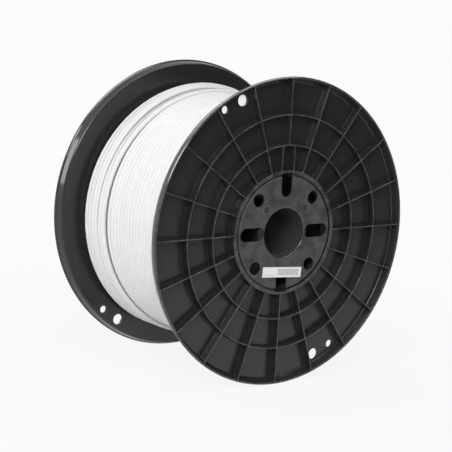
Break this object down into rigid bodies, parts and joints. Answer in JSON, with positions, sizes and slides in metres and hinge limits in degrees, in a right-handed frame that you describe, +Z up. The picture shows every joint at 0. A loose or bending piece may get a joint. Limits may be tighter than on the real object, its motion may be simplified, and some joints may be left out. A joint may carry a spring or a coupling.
{
  "type": "wire spool",
  "caption": "Moulded spool for electrical cable: two ribbed round flanges with drive slots and tail holes on a hollow barrel, wound with pale round cable.",
  "frame": {"origin": "on the floor under the middle of the spool, which stands on its two rims", "axes": "+Y along the arbor bore from the labelled front flange to the rear flange, +Z up, +X to the right as seen from the front"},
  "size_m": [0.33, 0.198, 0.33],
  "materials": {
    "moulding": "black moulded plastic with a faint grain and a slight shine",
    "hub_moulding": "black moulded plastic, finely grained, slightly greyer",
    "cable": "smooth white cable jacket, satin",
    "label": "white paper sticker with pale grey bars"
  },
  "bodies": {
    "root": {"front_flange": "moulding", "rear_flange": "moulding", "front_hub_plate": "hub_moulding", "rear_hub_plate": "hub_moulding", "arbor_sleeve": "hub_moulding", "barrel": "moulding", "cable_core": "cable", "cable_turns": "cable", "label": "label"}
  },
  "joints": []
}
